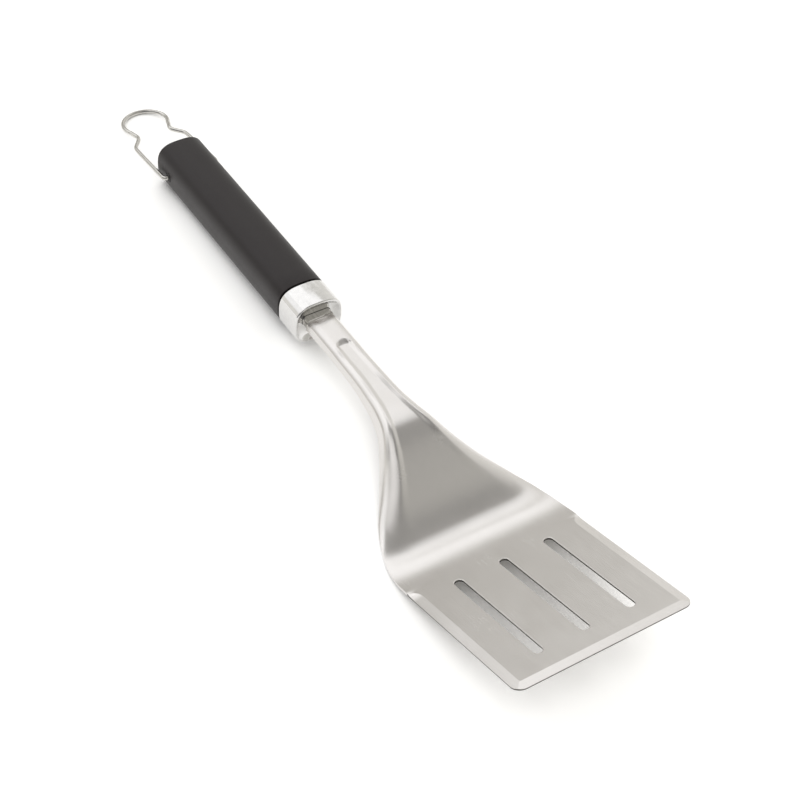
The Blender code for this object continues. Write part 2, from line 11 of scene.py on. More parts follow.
import bmesh
import bpy
from mathutils import Matrix, Vector

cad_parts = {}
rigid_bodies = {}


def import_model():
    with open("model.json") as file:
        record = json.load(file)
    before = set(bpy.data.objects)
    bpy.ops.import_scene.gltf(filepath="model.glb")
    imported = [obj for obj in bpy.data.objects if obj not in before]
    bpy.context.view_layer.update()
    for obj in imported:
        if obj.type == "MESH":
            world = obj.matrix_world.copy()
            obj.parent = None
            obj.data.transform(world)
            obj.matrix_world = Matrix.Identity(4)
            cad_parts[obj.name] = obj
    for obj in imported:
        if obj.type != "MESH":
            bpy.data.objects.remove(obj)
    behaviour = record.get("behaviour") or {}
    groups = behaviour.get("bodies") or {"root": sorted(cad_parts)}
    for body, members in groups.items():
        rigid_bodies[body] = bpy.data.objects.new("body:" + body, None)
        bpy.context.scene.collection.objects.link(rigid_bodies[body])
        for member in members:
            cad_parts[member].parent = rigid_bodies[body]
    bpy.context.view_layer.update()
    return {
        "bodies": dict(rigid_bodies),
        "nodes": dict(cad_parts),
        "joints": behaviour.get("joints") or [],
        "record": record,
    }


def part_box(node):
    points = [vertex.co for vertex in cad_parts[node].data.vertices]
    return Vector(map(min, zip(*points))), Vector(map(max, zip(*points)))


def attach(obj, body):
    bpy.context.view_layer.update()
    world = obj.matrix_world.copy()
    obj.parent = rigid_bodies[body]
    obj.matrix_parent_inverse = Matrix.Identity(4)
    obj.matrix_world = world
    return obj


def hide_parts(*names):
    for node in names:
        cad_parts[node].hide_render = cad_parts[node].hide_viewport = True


# Attitude and joints between the drawing frames
REST_TILT = 18.96
HANDLE_Y = 263.3
HANDLE_Z = 70.0
HANDLE_RISE = 17.0
PIVOT_PLACE = 127.5
LOOP_DROOP = 7.12
GAP = 0.3

# Blade
BLADE_WIDTH = 100.0
FLAT_END = 88.0
SHEET = 1.4
CORNER_RADIUS = 5.5
GROUND_WIDTH = 4.9
GROUND_DROP = 0.8
# Where the ground edge starts to run out, and where it has gone
GROUND_TURN = 83.5
GROUND_END = 90.5
GROUND_LEAST = 0.02
# A face whose normal rises by an amount between these was cut: not a top, underside or ground face
SHEARED_SLOPES = (-0.85, 0.3)
SLOT_PITCH = 26.2
SLOT_WIDTH = 4.9
SLOT_FRONT = 15.5
SLOT_REAR = 84.5
SLOT_RIM = 0.45
# How far a cutter passes what it cuts
SPARE = 2.0
ROUND_STEPS = 16

# Centre line of the sheet's top face: place along Y and height
CENTRE_LINE = (
    (84.0, 0.0),
    (95.0, 0.0),
    (97.0, 0.03),
    (100.0, 0.15),
    (103.0, 0.39),
    (106.0, 0.75),
    (109.0, 1.26),
    (112.0, 1.95),
    (115.0, 2.88),
    (118.0, 4.13),
    (121.0, 5.77),
    (124.0, 7.8),
    (127.0, 10.2),
    (130.0, 12.85),
    (140.0, 22.45),
    (150.0, 32.0),
    (154.0, 35.65),
    (157.0, 38.1),
    (160.0, 40.2),
    (163.5, 42.1),
    (168.0, 43.9),
    (172.0, 45.4),
    (176.0, 46.8),
    (182.0, 48.7),
    (196.0, 53.5),
    (212.0, 58.3),
    (244.2, 68.0),
)
# Sections: place along Y, half width, drop of the edges below the crest, half width of the dish's
# floor, rise of the crest above that floor, width of the ramp between them, and the two powers that
# take the arch from gentle to square
SECTIONS = (
    (84.0, 50.0, 0.0, 20.0, 0.0, 14.0, 2.0, 1.0),
    (93.0, 50.0, 0.03, 20.0, 0.0, 14.0, 2.0, 1.0),
    (101.0, 49.7, 0.2, 20.0, 0.0, 14.0, 2.0, 1.0),
    (110.0, 48.6, 0.4, 27.0, 0.0, 8.0, 2.0, 1.2),
    (120.0, 45.4, 1.5, 27.0, 0.05, 8.0, 2.0, 1.3),
    (130.0, 39.2, 5.2, 22.0, 0.2, 7.0, 2.0, 1.4),
    (136.0, 34.0, 7.0, 18.5, 0.35, 5.5, 2.0, 1.5),
    (142.0, 28.8, 8.6, 15.0, 0.6, 4.4, 2.1, 1.6),
    (154.0, 20.0, 9.8, 9.6, 0.7, 3.6, 2.6, 1.8),
    (166.0, 14.6, 9.2, 5.8, 0.65, 3.4, 3.4, 2.0),
    (180.0, 11.2, 7.8, 3.6, 0.55, 3.0, 3.6, 2.1),
    (196.0, 9.6, 6.4, 2.6, 0.55, 2.8, 3.8, 2.2),
    (212.0, 9.1, 5.8, 2.4, 0.6, 2.6, 3.8, 2.2),
    (220.0, 9.0, 5.8, 2.4, 1.0, 2.4, 3.8, 2.2),
    (244.2, 8.9, 5.8, 2.4, 1.0, 2.4, 3.8, 2.2),
)
# The most that the dish's floor and its ramp may take up of the half width
FLOOR_SHARE = 0.9
RAMP_SHARE = 0.94
SHANK_END = 244.2
# Reach of the easing between stations, and how many samples it takes on each side
SMOOTHING = 1.8
SMOOTHING_SAMPLES = 6
LIP_LENGTH = 2.0
LIP_DROP = 0.9
GROOVE_END = 221.0
GROOVE_HALF = 3.9
MOON_LENGTH = 4.0
MOON_EDGE = 0.4
ROW_STEP = 1.6
FLOOR_COLUMNS = 12
RAMP_COLUMNS = 12
ROUND_COLUMNS = 26
# Edges that bend less than these are drawn smooth: beside the blade's flat, and on the rest of it
FLAT_CREASE = 5.0
SHEET_CREASE = 38.0

# Handle
CREASE = 30.0
SECTION_POWER = 2.9
SECTION_POINTS = 128
FERRULE_LENGTH = 17.2
FERRULE_HALF = (14.6, 13.0)
FERRULE_TAPER = 0.1
FERRULE_EDGE = 0.8
FERRULE_RIM = 0.25
FERRULE_RECESS = 2.9
RECESS_DRAFT = 0.3
RECESS_ACROSS = 5.4
FERRULE_WALL = 1.7
SPIGOT_LENGTH = 7.0
GASKET = 0.8
GASKET_INSET = 0.7
GASKET_EDGE = 0.25
GRIP_END = 142.0
GRIP_HALF = (14.35, 12.7)
GRIP_SKIN = 1.6
GRIP_EDGE = 1.6
GRIP_FRONT_EDGE = 0.45
CORE_END = 134.0
CAP_RECESS = 0.6
CAP_EDGE = 0.8
CAP_WALL = 2.0
CAP_FACE = 4.0
# Groove in the end cap's face: depth along the handle and distance in from the cap's side
CAP_GROOVE = ((0.0, 3.0), (-0.5, 3.3), (-0.5, 3.9), (0.0, 4.2), (0.15, 7.0))
TANG_HALF_WIDTH = 4.4
TANG_THICK = 3.0
TANG_HEIGHT = 1.2
NECK_HALF_WIDTH = 8.6
NECK_TOP = 4.1
NECK_BOTTOM = -2.0
NECK_ROUND = 2.6
NECK_EDGE = 0.4
NECK_FRONT = -19.6
NECK_BACK = -9.6

# Hanging loop
WIRE_CREASE = 40.0
WIRE_SIDES = 24
WIRE_RADIUS = 1.25
LEG_AT_PIVOT = 17.0
LEG_AT_KINK = 16.4
LEG_LENGTH = 37.0
LOOP_NECK = 10.4
LOOP_NECK_PLACE = 48.6
BULB_RADIUS = 13.4
BULB_CENTRE = 61.3
BULB_START = -28.0
BULB_OFFSET = 1.4
WIRE_INNER_END = 8.4
WIRE_BEND = 2.2
BUSH_RADIUS = 2.5
BUSH_INNER = 9.4
BUSH_OUTER = 14.6
BUSH_CHAMFER = 0.35
BUSH_CLEARANCE = 0.25
BUSH_SIDES = 48

# Camera, in metres and degrees
CAMERA_PLACE = (-0.37678, -0.57182, 0.71699)
CAMERA_FORWARD = (0.40359, 0.54641, -0.73386)
CAMERA_RIGHT = (0.84431, -0.53144, 0.06864)
LENS = 83.66
SENSOR = 36.0

# Surroundings: brightness of the tent from the horizon (0) to straight up (1)
TENT = (
    (0.0, 0.96),
    (0.26, 0.95),
    (0.47, 0.92),
    (0.57, 0.87),
    (0.69, 0.80),
    (0.80, 0.60),
    (0.88, 0.35),
    (1.0, 0.31),
)
TENT_TINT = (1.0, 0.985, 0.94)
# Panels: name, azimuths from +Y towards +X, elevations, softness of their sides and ends, lean of
# their sides (degrees of azimuth for each degree above LEAN_LEVEL) and colour
PANELS = (
    ("wall under the softbox", (-42.0, 34.0), (-20.0, 28.0), 5.0, 3.0, 0.0, (0.57, 0.555, 0.52)),
    ("softbox, left part", (-52.0, 0.0), (22.0, 57.0), 7.0, 3.0, 0.0, (1.24, 1.24, 1.24)),
    ("softbox", (-25.0, 29.6), (29.0, 58.0), 1.2, 4.0, 1.1, (1.40, 1.40, 1.40)),
    ("softbox, right end", (20.0, 60.0), (43.0, 58.0), 3.0, 1.6, 0.0, (1.40, 1.40, 1.40)),
)
LEAN_LEVEL = 41.8
# Dark and light patches: name, direction, angle of full effect, angle where it ends, colour
PATCHES = (
    ("room on the left", (-0.9, -0.42, 0.3), 44.0, 58.0, (0.30, 0.30, 0.30)),
    ("ceiling behind the camera", (0.5, -0.75, 0.6), 24.0, 42.0, (0.62, 0.61, 0.57)),
    ("lamp overhead on the left", (-0.45, 0.05, 0.89), 14.0, 26.0, (1.10, 1.09, 1.08)),
    ("camera", (-0.40, -0.55, 0.73), 8.0, 16.0, (0.05, 0.05, 0.05)),
)
# What shows above the floor in a low view; the panels and patches only light the tool
BACKDROP = (0.93, 0.93, 0.925)
# Floor, in metres: half its size, the strength of its painted glow, and how far the tool's painted
# shadow on that glow reaches; the glow is gone where the floor is as little open as the first of
# these, and full from the second
FLOOR_HALF = 20.0
FLOOR_GLOW = 0.55
FLOOR_SHADE_REACH = 0.16
FLOOR_OPENNESS = (0.22, 0.60)


# ---------------------------------------------------------------- frames


def blade_frame(frame):
    """The blade frame in metres: scale from the blade's width, place from the loop's joint."""
    low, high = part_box("blade_and_shank")
    scale = (high.x - low.x) / BLADE_WIDTH
    tilt = Matrix.Rotation(math.radians(-REST_TILT), 4, "X")
    rise = math.radians(HANDLE_RISE)
    pivot = Vector(
        (
            0.0,
            HANDLE_Y + PIVOT_PLACE * math.cos(rise),
            HANDLE_Z + PIVOT_PLACE * math.sin(rise),
        )
    )
    joint = next(j for j in frame["joints"] if j["name"] == "loop_swing")
    place = Vector(joint["pos_m"]) - tilt @ (pivot * scale)
    return Matrix.Translation(place) @ tilt @ Matrix.Scale(scale, 4)


def handle_frame(blade):
    turn = Matrix.Rotation(math.radians(HANDLE_RISE), 4, "X")
    return blade @ Matrix.Translation((0, HANDLE_Y, HANDLE_Z)) @ turn


def loop_frame(handle):
    turn = Matrix.Rotation(math.radians(-LOOP_DROOP), 4, "X")
    return handle @ Matrix.Translation((0, PIVOT_PLACE, 0)) @ turn


# ---------------------------------------------------------------- mesh helpers


def lofted(rings, caps=(True, True)):
    """A bmesh through rings of points, each ring with the same count."""
    bm = bmesh.new()
    rows = [[bm.verts.new(point) for point in ring] for ring in rings]
    count = len(rows[0])
    for first, second in zip(rows, rows[1:]):
        for i in range(count):
            j = (i + 1) % count
            bm.faces.new((first[i], first[j], second[j], second[i]))
    if caps[0]:
        bm.faces.new(rows[0])
    if caps[1]:
        bm.faces.new(rows[-1])
    bmesh.ops.recalc_face_normals(bm, faces=bm.faces)
    return bm


def object_from(bm, name):
    mesh = bpy.data.meshes.new(name)
    bm.to_mesh(mesh)
    bm.free()
    piece = bpy.data.objects.new(name, mesh)
    bpy.context.scene.collection.objects.link(piece)
    return piece


def cut(piece, *cutters):
    """Takes each cutter away from the piece and applies the result."""
    for cutter in cutters:
        step = piece.modifiers.new("cut", "BOOLEAN")
        step.operation = "DIFFERENCE"
        step.solver = "EXACT"
        step.object = cutter
    bpy.context.view_layer.update()
    graph = bpy.context.evaluated_depsgraph_get()
    made = bpy.data.meshes.new_from_object(piece.evaluated_get(graph))
    piece.modifiers.clear()
    old = piece.data
    piece.data = made
    bpy.data.meshes.remove(old)
    for cutter in cutters:
        bpy.data.objects.remove(cutter, do_unlink=True)


def shade(piece, degrees=CREASE):
    piece.data.shade_smooth()
    piece.data.set_sharp_from_angle(angle=math.radians(degrees))


def place(piece, matrix, body, material, slot, *nodes):
    """Puts a piece drawn in millimetres where it belongs, on its body, and hides the CAD nodes that
    it stands for.
    """
    piece.data.materials.clear()
    piece.data.materials.append(material)
    piece.data.transform(matrix)
    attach(piece, body)
    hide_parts(*nodes)
    return piece


def quarter(steps):
    """(1 - cos, 1 - sin) for even angles from 0 to 90 degrees: a rounded edge of radius 1."""
    for i in range(steps + 1):
        angle = math.pi / 2 * i / steps
        yield 1 - math.cos(angle), 1 - math.sin(angle)


def ease(t):
    t = min(max(t, 0.0), 1.0)
    return t * t * (3 - 2 * t)


# ---------------------------------------------------------------- blade and shank


def along(table, y, column):
    """One column of a station table at a place, on a curve with no overshoot between stations."""
    last = len(table) - 1
    k = max(i for i in range(last) if table[i][0] <= y or i == 0)

    def rate(i):
        return (table[i + 1][column] - table[i][column]) / (table[i + 1][0] - table[i][0])

    def slope(i):
        if i == 0 or i == last:
            return rate(min(i, last - 1))
        before, after = rate(i - 1), rate(i)
        return 0.0 if before * after <= 0 else 2 * before * after / (before + after)

    width = table[k + 1][0] - table[k][0]
    t = min(max((y - table[k][0]) / width, 0.0), 1.0)
    return (
        (2 * t**3 - 3 * t**2 + 1) * table[k][column]
        + (t**3 - 2 * t**2 + t) * width * slope(k)
        + (3 * t**2 - 2 * t**3) * table[k + 1][column]
        + (t**3 - t**2) * width * slope(k + 1)
    )


def smoothed(table, y, column):
    """The same column with its changes of bend eased over a short stretch."""
    total = weight = 0.0
    end = table[-1][0]
    for i in range(-SMOOTHING_SAMPLES, SMOOTHING_SAMPLES + 1):
        w = math.exp(-0.5 * (3 * i / SMOOTHING_SAMPLES) ** 2)
        at = y + 3 * SMOOTHING * i / SMOOTHING_SAMPLES
        value = along(table, min(at, end), column)
        if at > end:
            value += (at - end) * (along(table, end, column) - along(table, end - 1, column))
        total += w * value
        weight += w
    return total / weight


def ground_width(y):
    """Width of the ground edge, which runs out in an arc behind the slots."""
    t = (y - GROUND_TURN) / (GROUND_END - GROUND_TURN)
    if t <= 0:
        return GROUND_WIDTH
    return max(GROUND_WIDTH * math.sqrt(max(1 - t * t, 0.0)), GROUND_LEAST)


def blade_half(y):
    """Top of half a blade section: flat, then the ground edge falling away, mitred in front."""
    half = BLADE_WIDTH / 2
    wide = ground_width(y)
    inner = half - wide
    plain = FLOOR_COLUMNS + RAMP_COLUMNS
    front = max(1 - y / GROUND_WIDTH, 0.0)
    points = [(inner * i / plain, -GROUND_DROP * front) for i in range(plain + 1)]
    for i in range(1, ROUND_COLUMNS + 1):
        t = i / ROUND_COLUMNS
        fall = max(t * wide / GROUND_WIDTH, front)
        points.append((inner + wide * t, -GROUND_DROP * fall))
    return points


def groove_fill(x, y):
    """0 in the groove and 1 past its end, up a ramp with a half-moon upper edge."""
    across = min(abs(x) / GROOVE_HALF, 1.0)
    length = MOON_LENGTH * math.sqrt(1 - across * across) + MOON_EDGE
    t = min(max((y - GROOVE_END) / length, 0.0), 1.0)
    return 0.5 * t + 0.5 * ease(t)


def neck_half(y):
    """Top of half a neck section: the dish's floor, its step, the crest and the rolled edge."""
    columns = range(1, len(SECTIONS[0]))
    half, drop, floor, rise, ramp, p, q = (smoothed(SECTIONS, y, column) for column in columns)
    inner = min(floor, half * FLOOR_SHARE)
    outer = min(inner + ramp, half * RAMP_SHARE)

    def height(x):
        u = min(max((x - inner) / (half - inner), 0.0), 1.0)
        step = ease((x - inner) / (outer - inner))
        arch = 1 - max(1 - u**p, 0.0) ** (1 / q)
        return rise * max(step, groove_fill(x, y)) - drop * arch

    places = [inner * i / FLOOR_COLUMNS for i in range(FLOOR_COLUMNS + 1)]
    places += [inner + (outer - inner) * i / RAMP_COLUMNS for i in range(1, RAMP_COLUMNS + 1)]
    for i in range(1, ROUND_COLUMNS + 1):
        t = 1 - (1 - i / ROUND_COLUMNS) ** 2
        places.append(outer + (half - outer) * t)
    return [(x, height(x)) for x in places]


def under_side(points):
    """The sheet's lower face: each top point moved square to the section by its thickness."""
    lower = []
    for i, (x, h) in enumerate(points):
        x0, h0 = points[max(i - 1, 0)]
        x1, h1 = points[min(i + 1, len(points) - 1)]
        if i == 0:
            x0, h0 = -x1, h1
        length = math.hypot(x1 - x0, h1 - h0)
        lower.append((x + (h1 - h0) / length * SHEET, h - (x1 - x0) / length * SHEET))
    return lower


def sheet_ring(y, top, bottom, centre, lean):
    """A section's whole outline from its half faces, raised and leant back to suit the climb."""
    outline = list(reversed(top))
    outline += [(-x, h) for x, h in top[1:]]
    outline += [(-x, h) for x, h in reversed(bottom)]
    outline += bottom[1:]
    return [(x, y - h * math.sin(lean), centre + h * math.cos(lean)) for x, h in outline]


def blade_rings():
    """Sections of the flat blade, closest together along its ground edges."""
    places = [GROUND_WIDTH * i / ROUND_COLUMNS for i in range(ROUND_COLUMNS + 1)]
    places += [GROUND_WIDTH + (GROUND_TURN - GROUND_WIDTH) * i / 3 for i in (1, 2)]
    turn_steps = 14
    for i in range(turn_steps + 1):
        angle = math.pi / 2 * i / turn_steps
        places.append(GROUND_TURN + (GROUND_END - GROUND_TURN) * math.sin(angle))
    rings = []
    for y in places:
        if y < FLAT_END:
            top = blade_half(y)
            lower = [(x, -SHEET) for x, _ in top]
            rings.append(sheet_ring(y, top, lower, 0.0, 0.0))
    return rings


def neck_rings():
    """Sections of the bend, neck and shank, closest at the half-moon and the shank's lip."""
    rings = []
    count = round((SHANK_END - FLAT_END) / ROW_STEP)
    places = {FLAT_END + (SHANK_END - FLAT_END) * i / count for i in range(count + 1)}
    places |= {GROOVE_END - 1 + 0.4 * i for i in range(18)}
    places |= {SHANK_END - LIP_LENGTH * (1 - math.sin(math.pi / 2 * i / 7)) for i in range(8)}
    for y in sorted(places):
        step = 0.5
        climb = smoothed(CENTRE_LINE, y + step, 1) - smoothed(CENTRE_LINE, y - step, 1)
        lean = math.atan2(climb, 2 * step)
        top = neck_half(y)
        if y < GROUND_END:
            top = blend_half(y, top)
        past = max(1 - (SHANK_END - y) / LIP_LENGTH, 0.0)
        lip = LIP_DROP * (1 - math.sqrt(max(1 - past * past, 0.0)))
        centre = smoothed(CENTRE_LINE, y, 1) - lip
        rings.append(sheet_ring(y, top, under_side(top), centre, lean))
    return rings


def blend_half(y, top):
    """Carries the ground edge's last stretch over the start of the bend."""
    ground = blade_half(y)
    return [(gx, gh + h) for (gx, gh), (_, h) in zip(ground, top)]


def slot_ring(x, spread, z):
    """A round-ended slot outline, spread outwards, at a height."""
    radius = SLOT_WIDTH / 2
    ring = []
    for centre, start in ((SLOT_REAR - radius, 0.0), (SLOT_FRONT + radius, math.pi)):
        for i in range(ROUND_STEPS + 1):
            angle = start + math.pi * i / ROUND_STEPS
            reach = radius + spread
            ring.append((x + reach * math.cos(angle), centre + reach * math.sin(angle), z))
    return ring


def slot_cutter(x):
    """The slot's space, flared at both faces so that its rims come out rounded."""
    rim = [(SLOT_RIM * depth, SLOT_RIM * spread) for depth, spread in quarter(4)]
    rings = [slot_ring(x, SLOT_RIM + 1.0, SPARE)]
    rings += [slot_ring(x, spread, -depth) for depth, spread in rim]
    rings += [slot_ring(x, spread, -SHEET + depth) for depth, spread in reversed(rim)]
    rings.append(slot_ring(x, SLOT_RIM + 1.0, -SHEET - SPARE))
    return object_from(lofted(rings), "slot_cutter")


def corner_cutter(side):
    """What a rounded front corner takes away from the square one."""
    half = BLADE_WIDTH / 2
    centre_x, centre_y = half - CORNER_RADIUS, CORNER_RADIUS
    outline = []
    for i in range(ROUND_STEPS + 1):
        angle = math.pi / 2 * i / ROUND_STEPS
        x = centre_x + CORNER_RADIUS * math.sin(angle)
        outline.append((side * x, centre_y - CORNER_RADIUS * math.cos(angle)))
    outline += [(side * (half + SPARE), CORNER_RADIUS), (side * (half + SPARE), -SPARE)]
    outline.append((side * centre_x, -SPARE))
    rings = [[(x, y, z) for x, y in outline] for z in (-5.0, 5.0)]
    return object_from(lofted(rings), "corner_cutter")


def mark_blade_edges(piece):
    """Keeps the flat, its ground edges and the sheet's edges crisp, and the neck smooth."""
    bm = bmesh.new()
    bm.from_mesh(piece.data)
    flat_limit = 0.975
    fine = math.radians(FLAT_CREASE)
    coarse = math.radians(SHEET_CREASE)
    for face in bm.faces:
        face.smooth = True
    for edge in bm.edges:
        if len(edge.link_faces) != 2:
            edge.smooth = False
            continue
        angle = edge.calc_face_angle(0.0)
        on_blade = max(vertex.co.y for vertex in edge.verts) < GROUND_END + 0.2
        on_flat = any(abs(face.normal.z) > flat_limit for face in edge.link_faces)
        edge.smooth = angle < (fine if on_blade and on_flat else coarse)
    bm.to_mesh(piece.data)
    bm.free()


def sheared_faces(piece):
    """Numbers of the blade's cut faces: its outline and the walls of its slots."""
    found = []
    for face in piece.data.polygons:
        if face.center.y < GROUND_END and SHEARED_SLOPES[0] < face.normal.z < SHEARED_SLOPES[1]:
            found.append(face.index)
    return found


def build_blade(blade, material, painted_edge_shade):
    piece = object_from(lofted(blade_rings() + neck_rings()), "turner_blade")
    cutters = [slot_cutter(k * SLOT_PITCH) for k in (-1, 0, 1)]
    cutters += [corner_cutter(side) for side in (-1, 1)]
    cut(piece, *cutters)
    mark_blade_edges(piece)
    cut_faces = sheared_faces(piece)
    place(piece, blade, "tool", material, "brushed_steel", "blade_and_shank")
    # The cut faces take the second material, whose near-black colour is painted shade
    piece.data.materials.append(painted_edge_shade)
    for i in cut_faces:
        piece.data.polygons[i].material_index = 1
    return piece


# ---------------------------------------------------------------- handle


def section_ring(y, half, inset=0.0, power=SECTION_POWER):
    """The handle's flattened round section, square to the handle at a place along it."""
    wide, high = half[0] - inset, half[1] - inset
    ring = []
    for i in range(SECTION_POINTS):
        angle = 2 * math.pi * (i + 0.5) / SECTION_POINTS
        c, s = math.cos(angle), math.sin(angle)
        r = (abs(c / wide) ** power + abs(s / high) ** power) ** (-1 / power)
        ring.append((r * c, y, r * s))
    return ring


def rounded_end(place_y, radius, inward, half, steps=8):
    """Rings that round the section over at one end, from its face to its side."""
    return [
        section_ring(place_y + inward * radius * along_it, half, radius * inset)
        for along_it, inset in quarter(steps)
    ]


def block_ring(y, half_width, low, high, radius, steps=8):
    """A ring of a rounded oblong: half width in X, from low to high in Z."""
    ring = []
    corners = ((1, high, 0.0), (-1, high, 90.0), (-1, low, 180.0), (1, low, 270.0))
    for side, edge, start in corners:
        cx = side * (half_width - radius)
        cz = edge - radius if edge == high else edge + radius
        for i in range(steps + 1):
            angle = math.radians(start + 90.0 * i / steps)
            ring.append((cx + radius * math.cos(angle), y, cz + radius * math.sin(angle)))
    return ring


def ferrule_profile():
    """(y, inset) pairs from the back of the recess out round the rim to the ferrule's rear."""
    front = -FERRULE_LENGTH
    mouth = FERRULE_TAPER + FERRULE_EDGE + FERRULE_RIM
    floor = front + FERRULE_RECESS
    pairs = []
    steps = 10
    for i in range(steps + 1):
        t = i / steps
        inset = mouth + RECESS_DRAFT + RECESS_ACROSS * (1 - t)
        pairs.append((floor - (FERRULE_RECESS - FERRULE_RIM) * t * t, inset))
    pairs += [(front + FERRULE_RIM * b, mouth - FERRULE_RIM * a) for a, b in quarter(steps)]
    for a, b in quarter(steps):
        pairs.append((front + FERRULE_EDGE * a, FERRULE_TAPER + FERRULE_EDGE * b))
    pairs.append((-GAP, 0.0))
    pairs.append((0.0, GAP))
    return pairs


def build_ferrule(handle, material):
    rings = [section_ring(y, FERRULE_HALF, inset) for y, inset in ferrule_profile()]
    piece = object_from(lofted(rings), "ferrule_shell")
    past_rear = 5.0
    pocket = [
        section_ring(y, FERRULE_HALF, FERRULE_WALL) for y in (-SPIGOT_LENGTH - GAP, past_rear)
    ]
    hole = [neck_ring(y, -GAP) for y in (-FERRULE_LENGTH - SPARE, NECK_BACK + GAP)]
    tang = tang_space(-FERRULE_LENGTH, past_rear)
    cut(
        piece,
        object_from(lofted(pocket), "pocket"),
        object_from(lofted(hole), "hole"),
        object_from(lofted(tang), "tang_hole"),
    )
    shade(piece)
    return place(piece, handle, "tool", material, "chrome", "ferrule")


def tang_space(start, end):
    """The tang's space, with its clearance, as two rings."""
    wide = TANG_HALF_WIDTH + GAP
    low = TANG_HEIGHT - TANG_THICK / 2 - GAP
    high = TANG_HEIGHT + TANG_THICK / 2 + GAP
    corners = ((-wide, low), (wide, low), (wide, high), (-wide, high))
    return [[(x, y, z) for x, z in corners] for y in (start, end)]


def neck_ring(y, inset):
    """The neck's section drawn in by an inset, or out by a negative one."""
    return block_ring(
        y, NECK_HALF_WIDTH - inset, NECK_BOTTOM + inset, NECK_TOP - inset, NECK_ROUND - inset
    )


def build_neck(handle, material):
    rings = [neck_ring(NECK_FRONT + NECK_EDGE * a, NECK_EDGE * b) for a, b in quarter(4)]
    rings.append(neck_ring(NECK_BACK, 0.0))
    piece = object_from(lofted(rings), "neck_stub")
    cut(piece, object_from(lofted(tang_space(NECK_FRONT - SPARE, NECK_BACK + SPARE)), "slot"))
    shade(piece)
    return place(piece, handle, "tool", material, "polished_steel", "neck_collar")


def bush_circle(radius):
    """(y, z) points of a circle round the loop's pivot."""
    for i in range(BUSH_SIDES):
        angle = 2 * math.pi * i / BUSH_SIDES
        yield PIVOT_PLACE + radius * math.cos(angle), radius * math.sin(angle)


def build_gasket(handle, material):
    half = tuple(h - GASKET_INSET for h in GRIP_HALF)
    rings = rounded_end(GAP, GASKET_EDGE, 1, half, 3)
    rings += reversed(rounded_end(GAP + GASKET, GASKET_EDGE, -1, half, 3))
    piece = object_from(lofted(rings), "gasket_ring")
    hole = [section_ring(y, tuple(h - GRIP_SKIN for h in GRIP_HALF)) for y in (-3.0, 4.0)]
    cut(piece, object_from(lofted(hole), "hole"))
    shade(piece)
    return place(piece, handle, "tool", material, "gasket_rubber", "ferrule_gasket")


def build_grip(handle, material):
    start = GASKET + 2 * GAP
    rings = rounded_end(start, GRIP_FRONT_EDGE, 1, GRIP_HALF, 4)
    span, parts = GRIP_END - start, 12
    rings += [section_ring(start + span * i / parts, GRIP_HALF) for i in range(1, parts)]
    rings += reversed(rounded_end(GRIP_END, GRIP_EDGE, -1, GRIP_HALF))
    piece = object_from(lofted(rings), "grip_body")
    inner = tuple(h - GRIP_SKIN for h in GRIP_HALF)
    bore = [section_ring(y, inner) for y in (-5.0, GRIP_END + 5.0)]
    bush = [[(x, y, z) for y, z in bush_circle(BUSH_RADIUS + GAP)] for x in (-30.0, 30.0)]
    cut(piece, object_from(lofted(bore), "bore"), object_from(lofted(bush), "bush_hole"))
    shade(piece)
    return place(piece, handle, "tool", material, "soft_touch", "grip_sleeve")


def build_end_cap(handle, material):
    half = tuple(h - GRIP_SKIN - GAP for h in GRIP_HALF)
    face = GRIP_END - CAP_RECESS
    rings = [section_ring(CORE_END + GAP, half)]
    rings += reversed(rounded_end(face, CAP_EDGE, -1, half, 5))
    rings += [section_ring(face + dy, half, inset) for dy, inset in CAP_GROOVE]
    piece = object_from(lofted(rings), "handle_end_cap")
    inside = [section_ring(y, half, CAP_WALL) for y in (CORE_END - 5.0, GRIP_END - CAP_FACE)]
    cut(piece, object_from(lofted(inside), "inside"))
    shade(piece)
    return place(piece, handle, "tool", material, "moulded_core", "end_cap")


def build_bush(handle, material, side, node):
    """A plain bush: its outer face is chamfered, and the wire's end runs in its bore."""
    bore = WIRE_RADIUS + BUSH_CLEARANCE
    profile = (
        (BUSH_INNER, bore),
        (BUSH_INNER, BUSH_RADIUS),
        (BUSH_OUTER - BUSH_CHAMFER, BUSH_RADIUS),
        (BUSH_OUTER, BUSH_RADIUS - BUSH_CHAMFER),
        (BUSH_OUTER, bore + BUSH_CHAMFER),
        (BUSH_OUTER - BUSH_CHAMFER, bore),
    )
    bm = bmesh.new()
    rows = [[bm.verts.new((side * x, y, z)) for y, z in bush_circle(r)] for x, r in profile]
    for first, second in zip(rows, rows[1:] + rows[:1]):
        for i in range(BUSH_SIDES):
            j = (i + 1) % BUSH_SIDES
            bm.faces.new((first[i], first[j], second[j], second[i]))
    bmesh.ops.recalc_face_normals(bm, faces=bm.faces)
    name = "wire_bush_left" if side < 0 else "wire_bush_right"
    piece = object_from(bm, name)
    shade(piece)
    return place(piece, handle, "tool", material, "moulded_core", node)


# ---------------------------------------------------------------- hanging loop


def arc_points(centre, radius, start, end, count):
    """Points of an arc between two angles in degrees."""
    for i in range(count + 1):
        angle = math.radians(start + (end - start) * i / count)
        yield centre[0] + radius * math.cos(angle), centre[1] + radius * math.sin(angle)


